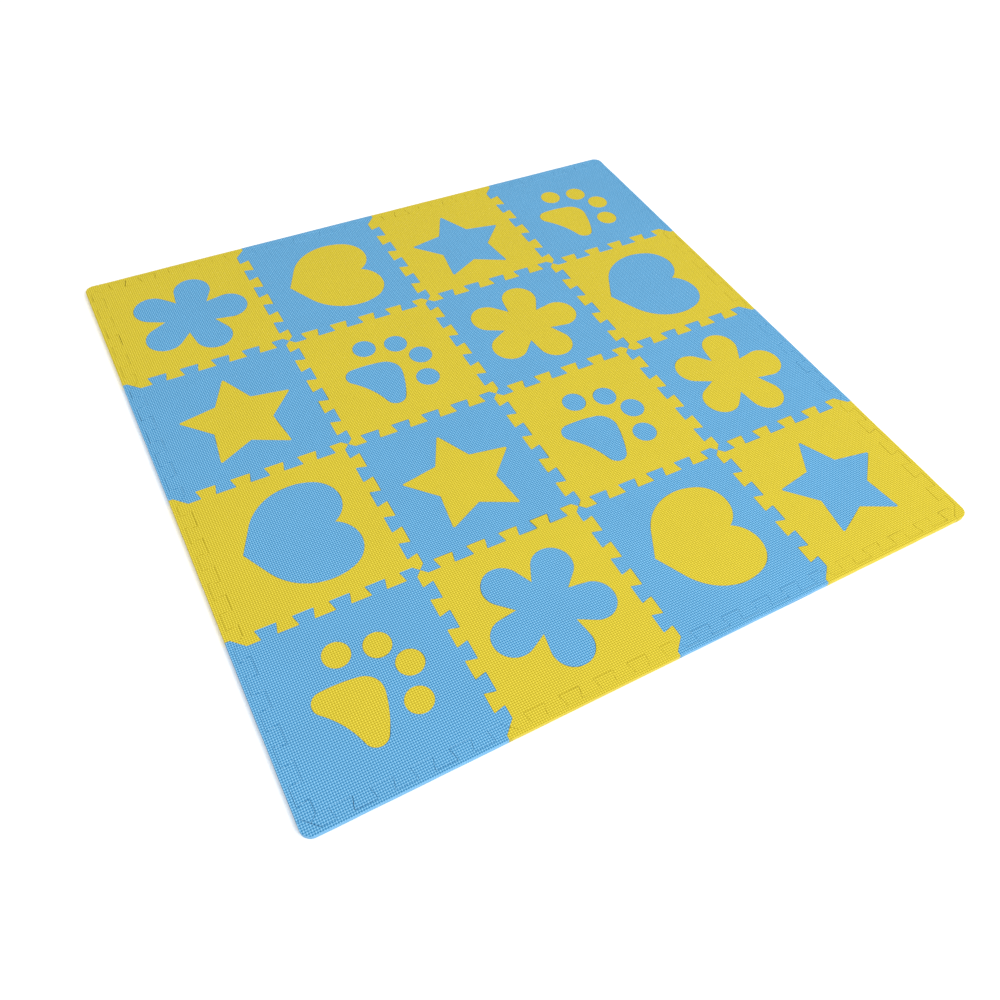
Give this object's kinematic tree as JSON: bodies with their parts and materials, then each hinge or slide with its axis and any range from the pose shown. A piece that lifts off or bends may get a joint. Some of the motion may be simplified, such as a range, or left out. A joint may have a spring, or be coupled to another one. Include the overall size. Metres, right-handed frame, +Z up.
{
  "type": "interlocking foam play mat",
  "caption": "Square foam floor mat of dovetailed square tiles closed by straight edge strips, each tile with a press-out flower, heart, star or paw print.",
  "frame": {"origin": "middle of the mat's underside, on the floor", "axes": "+Z up out of the floor, +X and +Y along the rows of tiles, with the mat's front edge towards -Y"},
  "size_m": [1.2144, 1.2144, 0.01],
  "materials": {
    "blue_foam": "matte",
    "yellow_foam": "matte"
  },
  "bodies": {
    "tile_r1c1": {"tile_r1c1": "yellow_foam"},
    "tile_r1c2": {"tile_r1c2": "blue_foam"},
    "tile_r1c3": {"tile_r1c3": "yellow_foam"},
    "tile_r1c4": {"tile_r1c4": "blue_foam"},
    "tile_r2c1": {"tile_r2c1": "blue_foam"},
    "tile_r2c2": {"tile_r2c2": "yellow_foam"},
    "tile_r2c3": {"tile_r2c3": "blue_foam"},
    "tile_r2c4": {"tile_r2c4": "yellow_foam"},
    "tile_r3c1": {"tile_r3c1": "yellow_foam"},
    "tile_r3c2": {"tile_r3c2": "blue_foam"},
    "tile_r3c3": {"tile_r3c3": "yellow_foam"},
    "tile_r3c4": {"tile_r3c4": "blue_foam"},
    "tile_r4c1": {"tile_r4c1": "blue_foam"},
    "tile_r4c2": {"tile_r4c2": "yellow_foam"},
    "tile_r4c3": {"tile_r4c3": "blue_foam"},
    "tile_r4c4": {"tile_r4c4": "yellow_foam"},
    "flower_r1c1": {"flower_r1c1": "blue_foam"},
    "heart_r1c2": {"heart_r1c2": "yellow_foam"},
    "star_r1c3": {"star_r1c3": "blue_foam"},
    "paw_pad_r1c4": {"paw_pad_r1c4": "yellow_foam"},
    "paw_toes_r1c4": {"paw_toes_r1c4": "yellow_foam"},
    "star_r2c1": {"star_r2c1": "yellow_foam"},
    "paw_pad_r2c2": {"paw_pad_r2c2": "blue_foam"},
    "paw_toes_r2c2": {"paw_toes_r2c2": "blue_foam"},
    "flower_r2c3": {"flower_r2c3": "yellow_foam"},
    "heart_r2c4": {"heart_r2c4": "blue_foam"},
    "heart_r3c1": {"heart_r3c1": "blue_foam"},
    "star_r3c2": {"star_r3c2": "yellow_foam"},
    "paw_pad_r3c3": {"paw_pad_r3c3": "blue_foam"},
    "paw_toes_r3c3": {"paw_toes_r3c3": "blue_foam"},
    "flower_r3c4": {"flower_r3c4": "yellow_foam"},
    "paw_pad_r4c1": {"paw_pad_r4c1": "yellow_foam"},
    "paw_toes_r4c1": {"paw_toes_r4c1": "yellow_foam"},
    "flower_r4c2": {"flower_r4c2": "blue_foam"},
    "heart_r4c3": {"heart_r4c3": "yellow_foam"},
    "star_r4c4": {"star_r4c4": "blue_foam"},
    "edge_north_1": {"edge_north_1": "yellow_foam"},
    "edge_north_2": {"edge_north_2": "blue_foam"},
    "edge_north_3": {"edge_north_3": "yellow_foam"},
    "edge_north_4": {"edge_north_4": "blue_foam"},
    "edge_east_1": {"edge_east_1": "blue_foam"},
    "edge_east_2": {"edge_east_2": "yellow_foam"},
    "edge_east_3": {"edge_east_3": "blue_foam"},
    "edge_east_4": {"edge_east_4": "yellow_foam"},
    "edge_south_1": {"edge_south_1": "yellow_foam"},
    "edge_south_2": {"edge_south_2": "blue_foam"},
    "edge_south_3": {"edge_south_3": "yellow_foam"},
    "edge_south_4": {"edge_south_4": "blue_foam"},
    "edge_west_1": {"edge_west_1": "blue_foam"},
    "edge_west_2": {"edge_west_2": "yellow_foam"},
    "edge_west_3": {"edge_west_3": "blue_foam"},
    "edge_west_4": {"edge_west_4": "yellow_foam"}
  },
  "joints": [
    {"name": "lift_tile_r1c1", "type": "slide", "parent": "tile_r2c2", "child": "tile_r1c1", "axis": [0, 0, 1], "range_m": [0, 0.03]},
    {"name": "lift_tile_r1c2", "type": "slide", "parent": "tile_r2c2", "child": "tile_r1c2", "axis": [0, 0, 1], "range_m": [0, 0.03]},
    {"name": "lift_tile_r1c3", "type": "slide", "parent": "tile_r2c2", "child": "tile_r1c3", "axis": [0, 0, 1], "range_m": [0, 0.03]},
    {"name": "lift_tile_r1c4", "type": "slide", "parent": "tile_r2c2", "child": "tile_r1c4", "axis": [0, 0, 1], "range_m": [0, 0.03]},
    {"name": "lift_tile_r2c1", "type": "slide", "parent": "tile_r2c2", "child": "tile_r2c1", "axis": [0, 0, 1], "range_m": [0, 0.03]},
    {"name": "lift_tile_r2c3", "type": "slide", "parent": "tile_r2c2", "child": "tile_r2c3", "axis": [0, 0, 1], "range_m": [0, 0.03]},
    {"name": "lift_tile_r2c4", "type": "slide", "parent": "tile_r2c2", "child": "tile_r2c4", "axis": [0, 0, 1], "range_m": [0, 0.03]},
    {"name": "lift_tile_r3c1", "type": "slide", "parent": "tile_r2c2", "child": "tile_r3c1", "axis": [0, 0, 1], "range_m": [0, 0.03]},
    {"name": "lift_tile_r3c2", "type": "slide", "parent": "tile_r2c2", "child": "tile_r3c2", "axis": [0, 0, 1], "range_m": [0, 0.03]},
    {"name": "lift_tile_r3c3", "type": "slide", "parent": "tile_r2c2", "child": "tile_r3c3", "axis": [0, 0, 1], "range_m": [0, 0.03]},
    {"name": "lift_tile_r3c4", "type": "slide", "parent": "tile_r2c2", "child": "tile_r3c4", "axis": [0, 0, 1], "range_m": [0, 0.03]},
    {"name": "lift_tile_r4c1", "type": "slide", "parent": "tile_r2c2", "child": "tile_r4c1", "axis": [0, 0, 1], "range_m": [0, 0.03]},
    {"name": "lift_tile_r4c2", "type": "slide", "parent": "tile_r2c2", "child": "tile_r4c2", "axis": [0, 0, 1], "range_m": [0, 0.03]},
    {"name": "lift_tile_r4c3", "type": "slide", "parent": "tile_r2c2", "child": "tile_r4c3", "axis": [0, 0, 1], "range_m": [0, 0.03]},
    {"name": "lift_tile_r4c4", "type": "slide", "parent": "tile_r2c2", "child": "tile_r4c4", "axis": [0, 0, 1], "range_m": [0, 0.03]},
    {"name": "lift_flower_r1c1", "type": "slide", "parent": "tile_r1c1", "child": "flower_r1c1", "axis": [0, 0, 1], "range_m": [0, 0.03]},
    {"name": "lift_heart_r1c2", "type": "slide", "parent": "tile_r1c2", "child": "heart_r1c2", "axis": [0, 0, 1], "range_m": [0, 0.03]},
    {"name": "lift_star_r1c3", "type": "slide", "parent": "tile_r1c3", "child": "star_r1c3", "axis": [0, 0, 1], "range_m": [0, 0.03]},
    {"name": "lift_paw_pad_r1c4", "type": "slide", "parent": "tile_r1c4", "child": "paw_pad_r1c4", "axis": [0, 0, 1], "range_m": [0, 0.03]},
    {"name": "lift_paw_toes_r1c4", "type": "slide", "parent": "tile_r1c4", "child": "paw_toes_r1c4", "axis": [0, 0, 1], "range_m": [0, 0.03]},
    {"name": "lift_star_r2c1", "type": "slide", "parent": "tile_r2c1", "child": "star_r2c1", "axis": [0, 0, 1], "range_m": [0, 0.03]},
    {"name": "lift_paw_pad_r2c2", "type": "slide", "parent": "tile_r2c2", "child": "paw_pad_r2c2", "axis": [0, 0, 1], "range_m": [0, 0.03]},
    {"name": "lift_paw_toes_r2c2", "type": "slide", "parent": "tile_r2c2", "child": "paw_toes_r2c2", "axis": [0, 0, 1], "range_m": [0, 0.03]},
    {"name": "lift_flower_r2c3", "type": "slide", "parent": "tile_r2c3", "child": "flower_r2c3", "axis": [0, 0, 1], "range_m": [0, 0.03]},
    {"name": "lift_heart_r2c4", "type": "slide", "parent": "tile_r2c4", "child": "heart_r2c4", "axis": [0, 0, 1], "range_m": [0, 0.03]},
    {"name": "lift_heart_r3c1", "type": "slide", "parent": "tile_r3c1", "child": "heart_r3c1", "axis": [0, 0, 1], "range_m": [0, 0.03]},
    {"name": "lift_star_r3c2", "type": "slide", "parent": "tile_r3c2", "child": "star_r3c2", "axis": [0, 0, 1], "range_m": [0, 0.03]},
    {"name": "lift_paw_pad_r3c3", "type": "slide", "parent": "tile_r3c3", "child": "paw_pad_r3c3", "axis": [0, 0, 1], "range_m": [0, 0.03]},
    {"name": "lift_paw_toes_r3c3", "type": "slide", "parent": "tile_r3c3", "child": "paw_toes_r3c3", "axis": [0, 0, 1], "range_m": [0, 0.03]},
    {"name": "lift_flower_r3c4", "type": "slide", "parent": "tile_r3c4", "child": "flower_r3c4", "axis": [0, 0, 1], "range_m": [0, 0.03]},
    {"name": "lift_paw_pad_r4c1", "type": "slide", "parent": "tile_r4c1", "child": "paw_pad_r4c1", "axis": [0, 0, 1], "range_m": [0, 0.03]},
    {"name": "lift_paw_toes_r4c1", "type": "slide", "parent": "tile_r4c1", "child": "paw_toes_r4c1", "axis": [0, 0, 1], "range_m": [0, 0.03]},
    {"name": "lift_flower_r4c2", "type": "slide", "parent": "tile_r4c2", "child": "flower_r4c2", "axis": [0, 0, 1], "range_m": [0, 0.03]},
    {"name": "lift_heart_r4c3", "type": "slide", "parent": "tile_r4c3", "child": "heart_r4c3", "axis": [0, 0, 1], "range_m": [0, 0.03]},
    {"name": "lift_star_r4c4", "type": "slide", "parent": "tile_r4c4", "child": "star_r4c4", "axis": [0, 0, 1], "range_m": [0, 0.03]},
    {"name": "lift_edge_north_1", "type": "slide", "parent": "tile_r1c1", "child": "edge_north_1", "axis": [0, 0, 1], "range_m": [0, 0.03]},
    {"name": "lift_edge_north_2", "type": "slide", "parent": "tile_r1c2", "child": "edge_north_2", "axis": [0, 0, 1], "range_m": [0, 0.03]},
    {"name": "lift_edge_north_3", "type": "slide", "parent": "tile_r1c3", "child": "edge_north_3", "axis": [0, 0, 1], "range_m": [0, 0.03]},
    {"name": "lift_edge_north_4", "type": "slide", "parent": "tile_r1c4", "child": "edge_north_4", "axis": [0, 0, 1], "range_m": [0, 0.03]},
    {"name": "lift_edge_east_1", "type": "slide", "parent": "tile_r1c4", "child": "edge_east_1", "axis": [0, 0, 1], "range_m": [0, 0.03]},
    {"name": "lift_edge_east_2", "type": "slide", "parent": "tile_r2c4", "child": "edge_east_2", "axis": [0, 0, 1], "range_m": [0, 0.03]},
    {"name": "lift_edge_east_3", "type": "slide", "parent": "tile_r3c4", "child": "edge_east_3", "axis": [0, 0, 1], "range_m": [0, 0.03]},
    {"name": "lift_edge_east_4", "type": "slide", "parent": "tile_r4c4", "child": "edge_east_4", "axis": [0, 0, 1], "range_m": [0, 0.03]},
    {"name": "lift_edge_south_1", "type": "slide", "parent": "tile_r4c4", "child": "edge_south_1", "axis": [0, 0, 1], "range_m": [0, 0.03]},
    {"name": "lift_edge_south_2", "type": "slide", "parent": "tile_r4c3", "child": "edge_south_2", "axis": [0, 0, 1], "range_m": [0, 0.03]},
    {"name": "lift_edge_south_3", "type": "slide", "parent": "tile_r4c2", "child": "edge_south_3", "axis": [0, 0, 1], "range_m": [0, 0.03]},
    {"name": "lift_edge_south_4", "type": "slide", "parent": "tile_r4c1", "child": "edge_south_4", "axis": [0, 0, 1], "range_m": [0, 0.03]},
    {"name": "lift_edge_west_1", "type": "slide", "parent": "tile_r4c1", "child": "edge_west_1", "axis": [0, 0, 1], "range_m": [0, 0.03]},
    {"name": "lift_edge_west_2", "type": "slide", "parent": "tile_r3c1", "child": "edge_west_2", "axis": [0, 0, 1], "range_m": [0, 0.03]},
    {"name": "lift_edge_west_3", "type": "slide", "parent": "tile_r2c1", "child": "edge_west_3", "axis": [0, 0, 1], "range_m": [0, 0.03]},
    {"name": "lift_edge_west_4", "type": "slide", "parent": "tile_r1c1", "child": "edge_west_4", "axis": [0, 0, 1], "range_m": [0, 0.03]}
  ]
}
